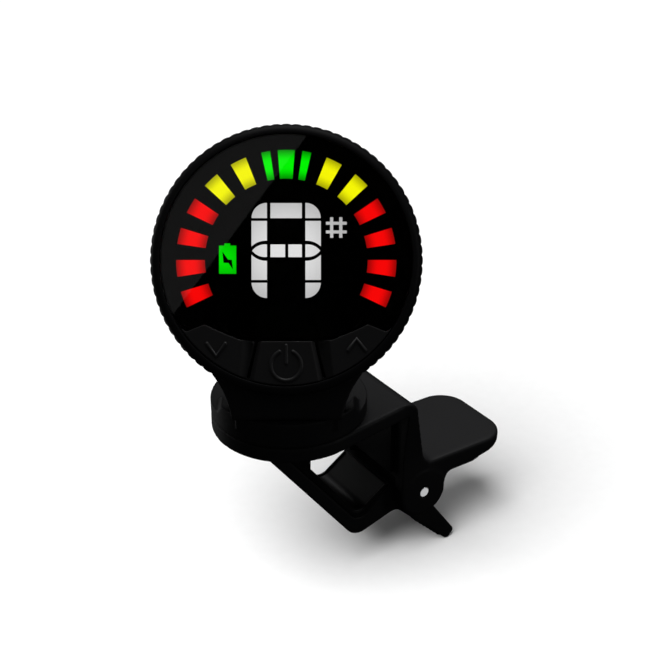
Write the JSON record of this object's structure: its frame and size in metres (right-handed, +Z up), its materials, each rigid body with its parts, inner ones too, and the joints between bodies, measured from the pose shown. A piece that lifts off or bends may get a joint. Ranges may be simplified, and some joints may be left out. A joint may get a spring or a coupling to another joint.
{
  "type": "clip-on tuner",
  "caption": "Clip-on instrument tuner: round display head with keys on a tilting neck, a swivel disc and a sprung V-jaw clip with rubber pads.",
  "frame": {"origin": "centre of the upper grip pad's face, on the swivel axis", "axes": "+Z up along the swivel axis, +X from the swivel axis towards the thumb levers, +Y across the clip along the jaw pin"},
  "size_m": [0.06, 0.0327, 0.0801],
  "materials": {
    "black_nylon": "satin moulded",
    "grip_rubber": "matte",
    "steel": "ground",
    "spring_steel": "drawn",
    "window_acrylic": "gloss",
    "key_rubber": "satin",
    "lcd": "gloss",
    "diffuser": "satin",
    "board": "solder mask",
    "chip": "matte",
    "foil": "satin",
    "tape": "foam",
    "brass": "plain"
  },
  "bodies": {
    "clip": {"upper_jaw": "black_nylon", "upper_pad": "grip_rubber", "jaw_pin": "steel", "torsion_spring": "spring_steel"},
    "jaw": {"lower_jaw": "black_nylon", "lower_pad": "grip_rubber"},
    "swivel": {"swivel_disc": "black_nylon", "swivel_wave_spring": "spring_steel", "swivel_retainer": "steel", "swivel_screw": "steel", "tilt_pin": "steel", "tilt_washers": "spring_steel"},
    "head": {"rear_housing": "black_nylon", "rear_cover": "black_nylon", "rear_cover_screws": "steel", "front_bezel": "black_nylon", "display_lens": "window_acrylic", "display_panel": "lcd", "backlight": "diffuser", "main_board": "board", "board_chips": "chip", "key_switches": "steel", "battery": "foil", "battery_tape": "tape", "piezo_sensor": "brass", "usb_socket": "steel"},
    "down_key_body": {"down_key": "key_rubber", "down_switch_plunger": "chip"},
    "power_key_body": {"power_key": "key_rubber", "power_switch_plunger": "chip"},
    "up_key_body": {"up_key": "key_rubber", "up_switch_plunger": "chip"}
  },
  "joints": [
    {"name": "swivel_turn", "type": "hinge", "parent": "clip", "child": "swivel", "pos_m": [0, 0, 0.0032], "axis": [0, 0, 1], "continuous": true},
    {"name": "head_tilt", "type": "hinge", "parent": "swivel", "child": "head", "pos_m": [-0.00467, -0.00708, 0.00735], "axis": [-0.8348, 0.5505, 0], "range_deg": [0, 50]},
    {"name": "jaw_open", "type": "hinge", "parent": "clip", "child": "jaw", "pos_m": [0.0216, 0, -0.0167], "axis": [0, -1, 0], "range_deg": [0, 38], "stiffness_Nm_per_rad": 0.3, "springref_deg": -22.92, "deforming": ["torsion_spring"]},
    {"name": "down_key_press", "type": "slide", "parent": "head", "child": "down_key_body", "axis": [0.4905, 0.7439, -0.454], "range_m": [0, 0.0004], "stiffness_N_per_m": 1500, "springref_m": -0.0002},
    {"name": "power_key_press", "type": "slide", "parent": "head", "child": "power_key_body", "axis": [0.4905, 0.7439, -0.454], "range_m": [0, 0.0004], "stiffness_N_per_m": 1500, "springref_m": -0.0002},
    {"name": "up_key_press", "type": "slide", "parent": "head", "child": "up_key_body", "axis": [0.4905, 0.7439, -0.454], "range_m": [0, 0.0004], "stiffness_N_per_m": 1500, "springref_m": -0.0002}
  ]
}
